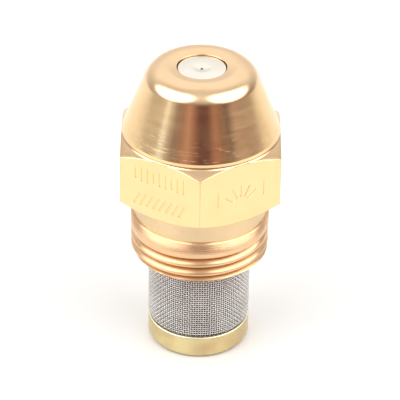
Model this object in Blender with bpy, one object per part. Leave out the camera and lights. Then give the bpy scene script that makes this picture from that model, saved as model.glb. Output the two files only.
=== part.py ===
"""Oil burner nozzle with a push-on strainer.

A turned brass body carries a hexagon and an outside thread.  Inside it, from the spray end down, lie
a stainless orifice disc, a swirl cone with tangential slots, and a hollow retaining screw whose tail
takes the strainer: a ferrule, a slotted cage, a sleeve of wire mesh and a pressed cap.

Frame: metres, +Z along the axis towards the spray orifice, origin at the middle of the cap's flat
bottom, and one corner of the hexagon towards -Y.  Everything is turned about the Z axis.
"""

import math

import bmesh
import bpy
from mathutils import Matrix, Vector

MM = 0.001

# ---- driving dimensions, in millimetres -----------------------------------------------------------

# the whole part
TOTAL_HEIGHT = 32.0
FIT_GAP = 0.1          # radial gap between pieces that are pushed together
FACE_GAP = 0.3         # gap between faces that rest on each other
RUNNING_GAP = 0.15     # radial gap round the retaining screw

# hexagon
HEX_ACROSS_FLATS = 16.0
HEX_TOP = 24.74        # where the upper chamfer meets the flats' middle
HEX_BOTTOM = 18.12     # underside of the hexagon
HEX_CHAMFER_ANGLE = math.radians(30)
HEX_BAR_RADIUS = 9.6   # round bar that the hexagon is cut from, outside its corners

# conical nose
NOSE_HOLE_RADIUS = 2.5
NOSE_EDGE_BREAK = 0.12
NOSE_FILLET_RADIUS = 2.15
NOSE_FILLET_CENTRE_RADIUS = 3.746
NOSE_HALF_ANGLE = math.radians(21.7)
LIP_RADIUS = 7.9       # round step between the cone and the hexagon
LIP_TOP = 25.3

# outside thread, 9/16 inch with 24 turns to the inch, right-handed
THREAD_RADIUS = 7.09
THREAD_ROOT_RADIUS = 6.47
THREAD_PITCH = 25.4 / 24
THREAD_TOP = 15.5
THREAD_END = 10.65     # flat end face of the body, which seals in the holder
THREAD_END_RADIUS = 6.6
GROOVE_FRONT_HEIGHT = 12.27   # height of one groove where it faces -Y
GROOVE_TURNS_DOWN = 2.5       # from there down past the end face
GROOVE_TURNS_UP = 1.35        # from there up to where it has faded out
NECK_RADIUS = 6.85

# bores of the body
SEAT_HEIGHT = 30.2     # shoulder that the orifice disc's flange is pressed against
UPPER_BORE_RADIUS = 3.6
SCREW_BORE_RADIUS = 4.5
SCREW_BORE_TOP = 21.9
COUNTERBORE_RADIUS = 5.45
COUNTERBORE_TOP = 13.6

# orifice disc
DISC_FACE = 31.75      # slightly sunk below the nose
DISC_FLANGE_RADIUS = 3.5
DISC_FLANGE_TOP = SEAT_HEIGHT - FACE_GAP
DISC_BOTTOM = 28.4
DISC_CONE_RADIUS = 2.9
ORIFICE_RADIUS = 0.15
DIMPLE_RADIUS = 0.9
DIMPLE_DEPTH = 0.15

# swirl cone
SWIRL_BODY_RADIUS = 3.3
SWIRL_BOTTOM = 24.5
SWIRL_TIP_RADIUS = 0.45
SWIRL_SLOTS = 4
SWIRL_SLOT_WIDTH = 0.5
SWIRL_SLOT_DEPTH = 0.35
SWIRL_SLOT_OFFSET = 0.8

# retaining screw, 0.75 mm pitch
SCREW_TOP = SWIRL_BOTTOM - FACE_GAP
SCREW_NOSE_RADIUS = 3.1
SCREW_THREAD_RADIUS = SCREW_BORE_RADIUS - RUNNING_GAP
SCREW_ROOT_RADIUS = 3.95
SCREW_THREAD_PITCH = 0.75
SCREW_THREAD_TOP = 21.4
SCREW_THREAD_BOTTOM = 15.0
SCREW_COLLAR = 0.7     # plain ring left below the screw's thread
SPIGOT_RADIUS = 2.9
SPIGOT_END = 10.0
OIL_BORE_RADIUS = 1.4
OIL_BORE_TOP = 23.4
CROSS_HOLE_RADIUS = 0.65
CROSS_HOLE_HEIGHT = 22.6
DRIVER_SLOT_WIDTH = 1.0
DRIVER_SLOT_DEPTH = 1.2

# strainer
MESH_OUTER_RADIUS = 5.27
MESH_THICKNESS = 0.22
MESH_TOP = 11.2
MESH_NECK_TOP = 3.1    # below here the sleeve is drawn in to enter the cap
MESH_NECK_BOTTOM = 2.75
FERRULE_FLANGE_RADIUS = 5.2
FERRULE_TOP = 13.3
FERRULE_SHOULDER = 11.5
FERRULE_BOTTOM = 9.9
CAGE_OUTER_RADIUS = MESH_OUTER_RADIUS - MESH_THICKNESS - FIT_GAP
CAGE_WALL = 0.5
CAGE_TOP = FERRULE_BOTTOM - FACE_GAP
CAGE_STEP = 3.3
CAGE_WINDOW_COLUMNS = 8
CAGE_WINDOW_WIDTH = 1.9
CAGE_WINDOW_ROWS = ((3.9, 6.0), (6.7, 8.8))   # lower and upper edge of each row
CAP_RADIUS = 5.28
CAP_HEIGHT = 2.55
CAP_WALL = 0.3
CAP_FLOOR = 0.5
CAP_EDGE_RADIUS = 0.6

# how finely round pieces are divided, in steps to the turn
BODY_STEPS = 48
SMALL_STEPS = 36
SCREW_STEPS = 24
SHARP_ANGLE = math.radians(30)


# ---- outlines ------------------------------------------------------------------------------------

def arc(centre_radius, centre_height, radius, start, end, pieces):
    """Points of an arc in the (radius, height) plane, with angles in degrees from the +radius axis."""
    points = []
    for i in range(pieces + 1):
        angle = math.radians(start + (end - start) * i / pieces)
        points.append((centre_radius + radius * math.cos(angle), centre_height + radius * math.sin(angle)))
    return points


# ---- modelling helpers ---------------------------------------------------------------------------

def clear_scene():
    for old in list(bpy.data.objects):
        bpy.data.objects.remove(old, do_unlink=True)


def metal(name, colour, roughness):
    made = bpy.data.materials.new(name)
    made.use_nodes = True
    shader = made.node_tree.nodes["Principled BSDF"]
    shader.inputs["Base Color"].default_value = (*colour, 1.0)
    shader.inputs["Metallic"].default_value = 1.0
    shader.inputs["Roughness"].default_value = roughness
    return made


def object_from(bm, name, material=None):
    """Turns a bmesh in millimetres into an object in metres, with its faces pointing out."""
    bmesh.ops.scale(bm, vec=(MM, MM, MM), verts=bm.verts)
    bmesh.ops.recalc_face_normals(bm, faces=bm.faces)
    mesh = bpy.data.meshes.new(name)
    bm.to_mesh(mesh)
    bm.free()
    mesh.shade_smooth()
    mesh.set_sharp_from_angle(angle=SHARP_ANGLE)
    made = bpy.data.objects.new(name, mesh)
    bpy.context.scene.collection.objects.link(made)
    if material:
        mesh.materials.append(material)
    return made


def turned(name, outline, steps, material=None):
    """A closed outline of (radius, height) points, spun once round the Z axis."""
    bm = bmesh.new()
    ring = [bm.verts.new((radius, 0.0, height)) for radius, height in outline]
    edges = [bm.edges.new((a, b)) for a, b in zip(ring, ring[1:] + ring[:1])]
    axis_edges = [e for e in edges if all(v.co.x < 1e-6 for v in e.verts)]
    bmesh.ops.delete(bm, geom=axis_edges, context="EDGES")
    bmesh.ops.spin(
        bm,
        geom=list(bm.verts) + list(bm.edges),
        cent=(0, 0, 0),
        axis=(0, 0, 1),
        angle=math.tau,
        steps=steps,
        use_merge=True,
    )
    bmesh.ops.remove_doubles(bm, verts=bm.verts, dist=1e-4)
    return object_from(bm, name, material)


def box(name, size, place):
    """A box of the given size in millimetres, moved by the 4x4 matrix place."""
    bm = bmesh.new()
    bmesh.ops.create_cube(bm, size=1.0, matrix=place @ Matrix.Diagonal((*size, 1.0)))
    return object_from(bm, name)


def hexagon_cutter(name, across_flats, outer_radius, bottom, top):
    """A ring with a hexagonal hole, which cuts six flats and leaves a corner towards -Y."""
    bm = bmesh.new()
    loops = []
    for corner_radius in (across_flats / 2 / math.cos(math.pi / 6), outer_radius):
        for height in (bottom, top):
            angles = [math.radians(60 * i - 90) for i in range(6)]
            loops.append([bm.verts.new((corner_radius * math.cos(a), corner_radius * math.sin(a), height))
                          for a in angles])
    inner_low, inner_high, outer_low, outer_high = loops
    for one, other in ((inner_low, inner_high), (inner_high, outer_high),
                       (outer_high, outer_low), (outer_low, inner_low)):
        for i in range(6):
            j = (i + 1) % 6
            bm.faces.new((one[i], one[j], other[j], other[i]))
    return object_from(bm, name)


def helical_groove(name, crest_radius, root_radius, pitch, front_height, down, up, steps, run_out):
    """A right-handed coil with the section of a thread's groove, which cuts the thread.

    The coil's middle is at front_height where it faces -Y.  It goes down and up from there by the
    given numbers of turns, and over its last run_out turns it moves outwards until it cuts nothing.
    """
    depth = crest_radius - root_radius
    root_half = pitch * 0.06
    crest_half = root_half + depth * math.tan(math.radians(30))
    reach = depth * 0.5
    section = ((0.0, -root_half), (depth, -crest_half), (depth + reach, -crest_half),
               (depth + reach, crest_half), (depth, crest_half), (0.0, root_half))
    bm = bmesh.new()
    rings = []
    for i in range(-round(down * steps), round(up * steps) + 1):
        turns = i / steps
        angle = math.tau * (turns - 0.25)
        lift = (depth + 0.05) * max(0.0, 1.0 - (up - turns) / run_out)
        rings.append([bm.verts.new(((root_radius + lift + out) * math.cos(angle),
                                    (root_radius + lift + out) * math.sin(angle),
                                    front_height + pitch * turns + rise))
                      for out, rise in section])
    for low, high in zip(rings, rings[1:]):
        for i in range(len(section)):
            j = (i + 1) % len(section)
            bm.faces.new((low[i], low[j], high[j], high[i]))
    bm.faces.new(rings[0])
    bm.faces.new(rings[-1])
    return object_from(bm, name)


def cut(piece, cutter, operation="DIFFERENCE"):
    """Adds an exact Boolean to piece and hides the cutter."""
    cutter.hide_render = True
    cutter.display_type = "WIRE"
    boolean = piece.modifiers.new(cutter.name, "BOOLEAN")
    boolean.object = cutter
    boolean.operation = operation
    boolean.solver = "EXACT"


# ---- the pieces ----------------------------------------------------------------------------------

def make_nozzle_body(brass):
    flat = HEX_ACROSS_FLATS / 2
    chamfer_drop = (HEX_BAR_RADIUS - flat) * math.tan(HEX_CHAMFER_ANGLE)
    fillet_height = TOTAL_HEIGHT - NOSE_FILLET_RADIUS
    nose = arc(NOSE_FILLET_CENTRE_RADIUS, fillet_height, NOSE_FILLET_RADIUS,
               90, math.degrees(NOSE_HALF_ANGLE), 7)
    outside = [
        (NOSE_HOLE_RADIUS + NOSE_EDGE_BREAK, TOTAL_HEIGHT),
        *nose,
        (LIP_RADIUS - 0.12, LIP_TOP + 0.12),
        (LIP_RADIUS, LIP_TOP),
        (LIP_RADIUS, HEX_TOP + 0.05),
        (flat, HEX_TOP),
        (HEX_BAR_RADIUS, HEX_TOP - chamfer_drop),
        (HEX_BAR_RADIUS, HEX_BOTTOM + chamfer_drop),
        (flat, HEX_BOTTOM),
        (NECK_RADIUS + 0.2, HEX_BOTTOM),
        (NECK_RADIUS, HEX_BOTTOM - 0.2),
        (NECK_RADIUS, THREAD_TOP + 0.05),
        (THREAD_RADIUS, THREAD_TOP),
        (THREAD_RADIUS, THREAD_END + THREAD_RADIUS - THREAD_END_RADIUS),
        (THREAD_END_RADIUS, THREAD_END),
    ]
    inside = [
        (COUNTERBORE_RADIUS, THREAD_END),
        (COUNTERBORE_RADIUS, COUNTERBORE_TOP),
        (SCREW_BORE_RADIUS, COUNTERBORE_TOP),
        (SCREW_BORE_RADIUS, SCREW_BORE_TOP),
        (UPPER_BORE_RADIUS, SCREW_BORE_TOP),
        (UPPER_BORE_RADIUS, SEAT_HEIGHT),
        (NOSE_HOLE_RADIUS, SEAT_HEIGHT),
        (NOSE_HOLE_RADIUS, TOTAL_HEIGHT - NOSE_EDGE_BREAK),
    ]
    body = turned("nozzle_body", outside + inside, BODY_STEPS, brass)
    cut(body, hexagon_cutter("hexagon_cutter", HEX_ACROSS_FLATS, 2 * HEX_BAR_RADIUS,
                             HEX_BOTTOM - 0.5, HEX_TOP + 0.5))
    cut(body, helical_groove("thread_cutter", THREAD_RADIUS, THREAD_ROOT_RADIUS, THREAD_PITCH,
                             GROOVE_FRONT_HEIGHT, GROOVE_TURNS_DOWN, GROOVE_TURNS_UP,
                             BODY_STEPS, 0.3))
    return body


def make_orifice_disc(steel):
    boss_radius = NOSE_HOLE_RADIUS - FIT_GAP * 0.8
    cone_height = DISC_CONE_RADIUS - ORIFICE_RADIUS
    outline = [
        (DIMPLE_RADIUS, DISC_FACE),
        (boss_radius - 0.1, DISC_FACE),
        (boss_radius, DISC_FACE - 0.1),
        (boss_radius, DISC_FLANGE_TOP),
        (DISC_FLANGE_RADIUS, DISC_FLANGE_TOP),
        (DISC_FLANGE_RADIUS, DISC_BOTTOM),
        (DISC_CONE_RADIUS, DISC_BOTTOM),
        (ORIFICE_RADIUS, DISC_BOTTOM + cone_height),
        (ORIFICE_RADIUS, DISC_FACE - DIMPLE_DEPTH),
    ]
    return turned("orifice_disc", outline, SMALL_STEPS, steel)


def make_swirl_cone(steel):
    rim = DISC_BOTTOM - FACE_GAP
    cone_radius = DISC_CONE_RADIUS
    outline = [
        (0.0, rim + cone_radius - SWIRL_TIP_RADIUS),
        (SWIRL_TIP_RADIUS, rim + cone_radius - SWIRL_TIP_RADIUS),
        (cone_radius, rim),
        (SWIRL_BODY_RADIUS, rim),
        (SWIRL_BODY_RADIUS, SWIRL_BOTTOM + 0.2),
        (SWIRL_BODY_RADIUS - 0.2, SWIRL_BOTTOM),
        (0.0, SWIRL_BOTTOM),
    ]
    cone = turned("swirl_cone", outline, SMALL_STEPS, steel)
    slope_middle = Vector((SWIRL_SLOT_OFFSET, cone_radius / 2, rim + cone_radius / 2))
    sink = SWIRL_SLOT_DEPTH * math.sqrt(0.5)
    length = 3 * cone_radius
    height = 1.0
    for i in range(SWIRL_SLOTS):
        lift = (height / 2) * math.sqrt(0.5) - sink
        centre = slope_middle + Vector((0, lift, lift))
        place = (Matrix.Rotation(math.tau * i / SWIRL_SLOTS, 4, "Z")
                 @ Matrix.Translation(centre)
                 @ Matrix.Rotation(math.radians(-45), 4, "X"))
        cut(cone, box(f"swirl_slot_cutter_{i + 1}", (SWIRL_SLOT_WIDTH, length, height), place))
    return cone


def make_retaining_screw(brass):
    chamfer = 0.35
    outline = [
        (0.0, SCREW_TOP),
        (SCREW_NOSE_RADIUS - chamfer, SCREW_TOP),
        (SCREW_NOSE_RADIUS, SCREW_TOP - chamfer),
        (SCREW_NOSE_RADIUS, SCREW_THREAD_TOP),
        (SCREW_ROOT_RADIUS, SCREW_THREAD_TOP),
        (SCREW_THREAD_RADIUS, SCREW_THREAD_TOP - chamfer),
        (SCREW_THREAD_RADIUS, SCREW_THREAD_BOTTOM),
        (SPIGOT_RADIUS, SCREW_THREAD_BOTTOM),
        (SPIGOT_RADIUS, SPIGOT_END + chamfer),
        (SPIGOT_RADIUS - chamfer, SPIGOT_END),
        (OIL_BORE_RADIUS, SPIGOT_END),
        (OIL_BORE_RADIUS, OIL_BORE_TOP),
        (0.0, OIL_BORE_TOP + OIL_BORE_RADIUS * 0.3),
    ]
    screw = turned("retaining_screw", outline, SCREW_STEPS, brass)
    turns = (SCREW_THREAD_TOP - SCREW_THREAD_BOTTOM) / SCREW_THREAD_PITCH
    cut(screw, helical_groove("screw_thread_cutter", SCREW_THREAD_RADIUS, SCREW_ROOT_RADIUS,
                              SCREW_THREAD_PITCH, SCREW_THREAD_BOTTOM + SCREW_COLLAR, 0.0, turns,
                              SCREW_STEPS, 0.2))
    across = 4 * SCREW_NOSE_RADIUS
    for i in range(2):
        bm = bmesh.new()
        place = (Matrix.Translation((0, 0, CROSS_HOLE_HEIGHT))
                 @ Matrix.Rotation(math.radians(90 * i), 4, "Z")
                 @ Matrix.Rotation(math.radians(90), 4, "Y"))
        bmesh.ops.create_cone(bm, cap_ends=True, segments=12, radius1=CROSS_HOLE_RADIUS,
                              radius2=CROSS_HOLE_RADIUS, depth=across, matrix=place)
        cut(screw, object_from(bm, f"cross_hole_cutter_{i + 1}"))
    slot_size = (across, DRIVER_SLOT_WIDTH, 2 * DRIVER_SLOT_DEPTH)
    cut(screw, box("driver_slot_cutter", slot_size, Matrix.Translation((0, 0, SPIGOT_END))))
    return screw


def make_strainer_ferrule(brass):
    bore = SPIGOT_RADIUS + FIT_GAP
    outline = [
        (bore + 0.2, FERRULE_TOP),
        (FERRULE_FLANGE_RADIUS - 0.2, FERRULE_TOP),
        (FERRULE_FLANGE_RADIUS, FERRULE_TOP - 0.2),
        (FERRULE_FLANGE_RADIUS, FERRULE_SHOULDER),
        (CAGE_OUTER_RADIUS, FERRULE_SHOULDER),
        (CAGE_OUTER_RADIUS, FERRULE_BOTTOM),
        (bore, FERRULE_BOTTOM),
        (bore, FERRULE_TOP - 0.2),
    ]
    return turned("strainer_ferrule", outline, SMALL_STEPS, brass)


def make_strainer_cage(brass):
    lower_radius = CAP_RADIUS - CAP_WALL - MESH_THICKNESS - 2 * FIT_GAP
    bottom = CAP_FLOOR + FACE_GAP
    outline = [
        (CAGE_OUTER_RADIUS, CAGE_TOP),
        (CAGE_OUTER_RADIUS, CAGE_STEP),
        (lower_radius, CAGE_STEP),
        (lower_radius, bottom),
        (lower_radius - CAGE_WALL, bottom),
        (lower_radius - CAGE_WALL, CAGE_TOP),
    ]
    cage = turned("strainer_cage", outline, SMALL_STEPS, brass)
    for row, (low, high) in enumerate(CAGE_WINDOW_ROWS):
        for i in range(CAGE_WINDOW_COLUMNS // 2):
            place = (Matrix.Rotation(math.tau * (i + 0.5 * row) / CAGE_WINDOW_COLUMNS, 4, "Z")
                     @ Matrix.Translation((0, 0, (low + high) / 2)))
            size = (4 * CAGE_OUTER_RADIUS, CAGE_WINDOW_WIDTH, high - low)
            cut(cage, box(f"window_cutter_{row + 1}_{i + 1}", size, place))
    return cage


def make_strainer_mesh(steel):
    lower_outer = CAP_RADIUS - CAP_WALL - FIT_GAP
    upper_inner = MESH_OUTER_RADIUS - MESH_THICKNESS
    lower_inner = lower_outer - MESH_THICKNESS
    bottom = CAP_FLOOR + FACE_GAP
    outline = [
        (MESH_OUTER_RADIUS, MESH_TOP),
        (MESH_OUTER_RADIUS, MESH_NECK_TOP),
        (lower_outer, MESH_NECK_BOTTOM),
        (lower_outer, bottom),
        (lower_inner, bottom),
        (lower_inner, MESH_NECK_BOTTOM),
        (upper_inner, MESH_NECK_TOP),
        (upper_inner, MESH_TOP),
    ]
    return turned("strainer_mesh", outline, SMALL_STEPS, steel)


def make_strainer_cap(brass):
    rim = 0.12
    outline = [
        (CAP_RADIUS - CAP_WALL, CAP_HEIGHT - rim),
        (CAP_RADIUS - CAP_WALL + rim, CAP_HEIGHT),
        (CAP_RADIUS - rim, CAP_HEIGHT),
        (CAP_RADIUS, CAP_HEIGHT - rim),
        *arc(CAP_RADIUS - CAP_EDGE_RADIUS, CAP_EDGE_RADIUS, CAP_EDGE_RADIUS, 0, -90, 5),
        (0.0, 0.0),
        (0.0, CAP_FLOOR),
        (CAP_RADIUS - CAP_WALL, CAP_FLOOR),
    ]
    return turned("strainer_cap", outline, SMALL_STEPS, brass)


def main():
    clear_scene()
    body_brass = metal("polished_brass", (0.87, 0.66, 0.36), 0.28)
    screw_brass = metal("turned_brass", (0.80, 0.60, 0.30), 0.35)
    cap_brass = metal("yellow_brass", (0.72, 0.62, 0.28), 0.32)
    disc_steel = metal("ground_steel", (0.78, 0.76, 0.70), 0.25)
    wire_steel = metal("wire_steel", (0.52, 0.52, 0.50), 0.40)

    make_nozzle_body(body_brass)
    make_orifice_disc(disc_steel)
    swirl_cone = make_swirl_cone(disc_steel)
    screw = make_retaining_screw(screw_brass)
    strainer = [
        make_strainer_ferrule(screw_brass),
        make_strainer_cage(screw_brass),
        make_strainer_mesh(wire_steel),
        make_strainer_cap(cap_brass),
    ]

    # the screw backs out along this axis and turns about it, and the strainer pulls off its spigot
    screw_axis = bpy.data.objects.new("screw_axis", None)
    strainer_axis = bpy.data.objects.new("strainer_axis", None)
    for empty in (screw_axis, strainer_axis):
        bpy.context.scene.collection.objects.link(empty)
    strainer_axis.parent = screw_axis
    swirl_cone.parent = screw_axis
    screw.parent = screw_axis
    for piece in strainer:
        piece.parent = strainer_axis


main()
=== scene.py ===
# %% [markdown]
# # An oil burner nozzle, as a lesson in small turned parts
#
# The nozzle is 32 mm tall.  A brass body is turned from one bar, a steel disc in its nose carries the
# spray hole, and a strainer of fine wire cloth hangs below its thread.  Inside are a swirl cone and a
# hollow screw.  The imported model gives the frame: every piece made here sits exactly where its CAD
# piece sits, and moves with the same body.

# %% Load the frame
import math

import bmesh
import bpy
from mathutils import Matrix, Vector


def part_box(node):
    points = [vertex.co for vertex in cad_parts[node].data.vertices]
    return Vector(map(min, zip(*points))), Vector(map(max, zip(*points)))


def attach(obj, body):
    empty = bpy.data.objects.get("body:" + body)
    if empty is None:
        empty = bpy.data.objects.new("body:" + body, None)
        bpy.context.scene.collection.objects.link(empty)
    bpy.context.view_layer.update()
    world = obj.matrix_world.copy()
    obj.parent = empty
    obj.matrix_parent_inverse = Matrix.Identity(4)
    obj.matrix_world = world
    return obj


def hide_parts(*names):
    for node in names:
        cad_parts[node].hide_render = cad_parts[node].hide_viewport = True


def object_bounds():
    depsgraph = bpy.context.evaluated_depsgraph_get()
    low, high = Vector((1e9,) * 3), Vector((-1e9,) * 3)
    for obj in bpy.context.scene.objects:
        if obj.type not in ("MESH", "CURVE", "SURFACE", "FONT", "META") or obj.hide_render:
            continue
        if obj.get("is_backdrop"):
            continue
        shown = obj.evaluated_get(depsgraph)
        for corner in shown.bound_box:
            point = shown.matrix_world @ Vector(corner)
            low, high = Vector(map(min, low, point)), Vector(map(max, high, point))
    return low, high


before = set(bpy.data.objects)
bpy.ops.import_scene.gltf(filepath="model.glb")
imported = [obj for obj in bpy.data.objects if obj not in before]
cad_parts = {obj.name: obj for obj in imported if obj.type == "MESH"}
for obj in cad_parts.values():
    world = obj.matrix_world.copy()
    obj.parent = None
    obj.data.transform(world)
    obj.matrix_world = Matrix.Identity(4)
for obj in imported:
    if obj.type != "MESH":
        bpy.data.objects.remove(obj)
cad_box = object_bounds()
MM = 0.001
print("pieces:", sorted(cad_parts))

# %% [markdown]
# ## Sizes
#
# Lengths are in millimetres, because that is how a nozzle is drawn, and each object is scaled to
# metres once, when its mesh is finished.  The heights and radii of the pieces come from the frame, so
# the new pieces can't drift away from the ones that they replace.

# %% Heights and radii that come from the frame
def height_of(node):
    """Lowest and highest height of a CAD piece, in millimetres."""
    low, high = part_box(node)
    return low.z / MM, high.z / MM


def radius_of(node):
    """Half the width of a CAD piece, in millimetres."""
    low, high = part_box(node)
    return (high.x - low.x) / 2 / MM


THREAD_END, NOSE_TOP = height_of("nozzle_body")
DISC_BOTTOM, DISC_FACE = height_of("orifice_disc")
SWIRL_BOTTOM = height_of("swirl_cone")[0]
SCREW_END, SCREW_TOP = height_of("retaining_screw")
FERRULE_BOTTOM, FERRULE_TOP = height_of("strainer_ferrule")
CAGE_BOTTOM, CAGE_TOP = height_of("strainer_cage")
MESH_BOTTOM, MESH_TOP = height_of("strainer_mesh")
CAP_BOTTOM, CAP_TOP = height_of("strainer_cap")
HEX_FLAT = radius_of("nozzle_body")
DISC_RADIUS = radius_of("orifice_disc")
SWIRL_RADIUS = radius_of("swirl_cone")
SCREW_RADIUS = radius_of("retaining_screw")
FERRULE_RADIUS = radius_of("strainer_ferrule")
CAGE_RADIUS = radius_of("strainer_cage")
MESH_RADIUS = radius_of("strainer_mesh")
CAP_RADIUS = radius_of("strainer_cap")
print(f"body from {THREAD_END:.2f} to {NOSE_TOP:.2f} mm, hexagon {2 * HEX_FLAT:.2f} mm across flats")

# %% [markdown]
# ## The camera
#
# A long lens from about 240 mm away looks down at the nozzle, so that the round edges open into
# ellipses but the sides stay nearly parallel.  The camera faces a point on the nozzle's axis and is
# then rolled by less than one degree.

# %% Place the camera
CAMERA_PLACE = Vector((0.0, -197.6, 143.4)) * MM
CAMERA_AIM = Vector((0.0, 0.0, 16.2)) * MM
CAMERA_ROLL = math.radians(0.85)
CAMERA_LENS = 206.6

camera_data = bpy.data.cameras.new("camera")
camera_data.lens = CAMERA_LENS
camera_data.sensor_width = 36.0
camera_data.clip_start = 0.01
camera = bpy.data.objects.new("camera", camera_data)
bpy.context.scene.collection.objects.link(camera)
camera.location = CAMERA_PLACE
camera.rotation_euler = (CAMERA_AIM - CAMERA_PLACE).to_track_quat("-Z", "Y").to_euler()
camera.rotation_euler.rotate_axis("Z", CAMERA_ROLL)
bpy.context.scene.camera = camera
print(f"camera {(CAMERA_PLACE - CAMERA_AIM).length / MM:.0f} mm away")

# %% [markdown]
# ## Shader maths as plain Python
#
# A finish is a tree of nodes.  To keep the trees readable, a small class wraps a socket that carries a
# number, so that `1 - mask` or `lines * 0.2` adds the Math nodes by itself.  Every other node comes
# from one method of the finish, which sets the node's own settings first and then its sockets.

# %% The two classes that make finishes
class Value:
    """What a socket carries, so that arithmetic on it reads as Python."""

    def __init__(self, finish, socket):
        self.finish = finish
        self.socket = socket

    def maths(self, operation, *others):
        values = dict(enumerate((self, *others)))
        return self.finish.node("ShaderNodeMath", {"operation": operation}, values)

    def swapped(self, operation, other):
        return self.finish.node("ShaderNodeMath", {"operation": operation}, {0: other, 1: self})

    def __add__(self, other):
        return self.maths("ADD", other)

    def __radd__(self, other):
        return self.swapped("ADD", other)

    def __sub__(self, other):
        return self.maths("SUBTRACT", other)

    def __rsub__(self, other):
        return self.swapped("SUBTRACT", other)

    def __mul__(self, other):
        return self.maths("MULTIPLY", other)

    def __rmul__(self, other):
        return self.swapped("MULTIPLY", other)

    def __truediv__(self, other):
        return self.maths("DIVIDE", other)

    def __rtruediv__(self, other):
        return self.swapped("DIVIDE", other)

    def __pow__(self, other):
        return self.maths("POWER", other)

    def ramp(self, low, high, start=0.0, end=1.0):
        """Rises smoothly from start to end as the value goes from low to high."""
        values = {"Value": self, "From Min": low, "From Max": high, "To Min": start, "To Max": end}
        return self.finish.node("ShaderNodeMapRange", {"interpolation_type": "SMOOTHSTEP"}, values)


class Finish:
    """A tree of nodes that is being made."""

    def __init__(self, tree):
        self.tree = tree
        tree.nodes.clear()

    def node(self, kind, settings=None, values=None, output=0):
        """Adds a node, makes its settings, then fills or links its sockets, and gives one output."""
        made = self.tree.nodes.new(kind)
        settings = dict(settings or {})
        stops = settings.pop("stops", ())
        for name, setting in settings.items():
            setattr(made, name, setting)
        for i, (place, colour) in enumerate(stops):
            ladder = made.color_ramp.elements
            stop = ladder[i] if i < 1 else ladder[-1] if i == len(stops) - 1 else ladder.new(place)
            stop.position = place
            stop.color = colour
        for name, value in (values or {}).items():
            if isinstance(value, Value):
                self.tree.links.new(value.socket, made.inputs[name])
            else:
                made.inputs[name].default_value = value
        return Value(self, made.outputs[output]) if made.outputs else None


print("shader classes ready")

# %% [markdown]
# ## The studio
#
# Polished brass shows the room more than it shows itself, so the light is the most important part of
# its look.  The room here is drawn in the world's nodes, as brightness over direction: two big soft
# lights at the front left and right, a dim gap between them where the viewer stands, a white
# wall behind and a pale ceiling.  A direction is read as a bearing, 0 towards the camera, and a height
# above the horizon, both in degrees.

# %% Draw the room as brightness over direction
world = bpy.data.worlds.new("studio")
world.use_nodes = True
bpy.context.scene.world = world
room = Finish(world.node_tree)
towards = room.node("ShaderNodeTexCoord", output="Generated")
east = room.node("ShaderNodeSeparateXYZ", values={0: towards}, output="X")
north = room.node("ShaderNodeSeparateXYZ", values={0: towards}, output="Y")
up = room.node("ShaderNodeSeparateXYZ", values={0: towards}, output="Z")
bearing = east.maths("ARCTAN2", north * -1.0) * math.degrees(1.0)
climb = up.maths("ARCSINE") * math.degrees(1.0)
sideways = bearing.maths("ABSOLUTE")


def brightness(stops):
    """Brightness by height above the horizon, from (degrees, brightness) stops."""
    ladder = [(height / 90.0, (value, value, value, 1.0)) for height, value in stops]
    return room.node("ShaderNodeValToRGB", {"stops": ladder}, {0: climb / 90.0})


front = brightness([(0, 0.12), (20, 0.30), (34, 0.60), (50, 0.88), (66, 0.86), (84, 0.82)])
side = brightness([(0, 0.36), (10, 0.38), (25, 0.55), (50, 0.62), (84, 0.82)])
wall = brightness([(0, 0.90), (20, 0.90), (34, 1.16), (66, 1.14), (80, 0.88), (90, 0.82)])
around = front + (side - front) * sideways.ramp(12, 42)
around = around + (wall - around) * sideways.ramp(100, 150)


def soft_light(bearing_middle, climb_middle, half_width, half_height, roll, power):
    """A soft oval light, rolled by some degrees, as an amount that fades at its rim."""
    across = bearing - bearing_middle
    rise = climb - climb_middle
    turned_across = across * math.cos(roll) + rise * math.sin(roll)
    turned_rise = rise * math.cos(roll) - across * math.sin(roll)
    reach = (turned_across / half_width) ** 2.0 + (turned_rise / half_height) ** 2.0
    return reach.ramp(1.15, 0.80, 0.0, power)


SOFT_LIGHT_POWER = 3.0
SOFT_LIGHT_BEARING = 63.0
SOFT_LIGHT_ROLL = math.radians(16)
left = soft_light(-SOFT_LIGHT_BEARING, 40.0, 50.0, 25.0, SOFT_LIGHT_ROLL, SOFT_LIGHT_POWER)
right = soft_light(SOFT_LIGHT_BEARING, 40.0, 50.0, 25.0, -SOFT_LIGHT_ROLL, SOFT_LIGHT_POWER)
print("soft lights at bearings", -SOFT_LIGHT_BEARING, "and", SOFT_LIGHT_BEARING, "degrees")

# %% [markdown]
# Near the horizon the room is not even: a dark figure stands straight ahead between two copper-brown
# patches, the sides are a dim warm brown, and one thin bright strip stands at the left.  These show as
# upright streaks on the cone, so they are drawn as a band of colours over the bearing.

# %% Draw the band near the horizon
def grey(value):
    return (value, value * 0.97, value * 0.93)


bearings = [
    (-180, grey(0.90)), (-150, grey(0.90)), (-130, grey(0.72)), (-112, (0.50, 0.46, 0.47)),
    (-75, (0.46, 0.43, 0.44)), (-68, (0.50, 0.48, 0.50)), (-63, (0.76, 0.82, 0.95)),
    (-59, (0.76, 0.82, 0.95)), (-52, (0.45, 0.42, 0.43)), (-42, (0.23, 0.16, 0.17)),
    (-31, (0.33, 0.18, 0.155)), (-20, (0.56, 0.32, 0.28)), (-9.5, (0.31, 0.13, 0.11)),
    (-2, (0.13, 0.035, 0.045)), (10, (0.13, 0.035, 0.045)), (22, (0.40, 0.18, 0.145)),
    (33, (0.22, 0.09, 0.07)), (46, (0.09, 0.03, 0.03)), (57, (0.31, 0.20, 0.19)),
    (69, (0.30, 0.20, 0.18)), (83, (0.30, 0.22, 0.21)), (98, (0.29, 0.20, 0.18)),
    (114, (0.36, 0.29, 0.27)), (130, grey(0.66)), (150, grey(0.90)), (180, grey(0.90)),
]
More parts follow.
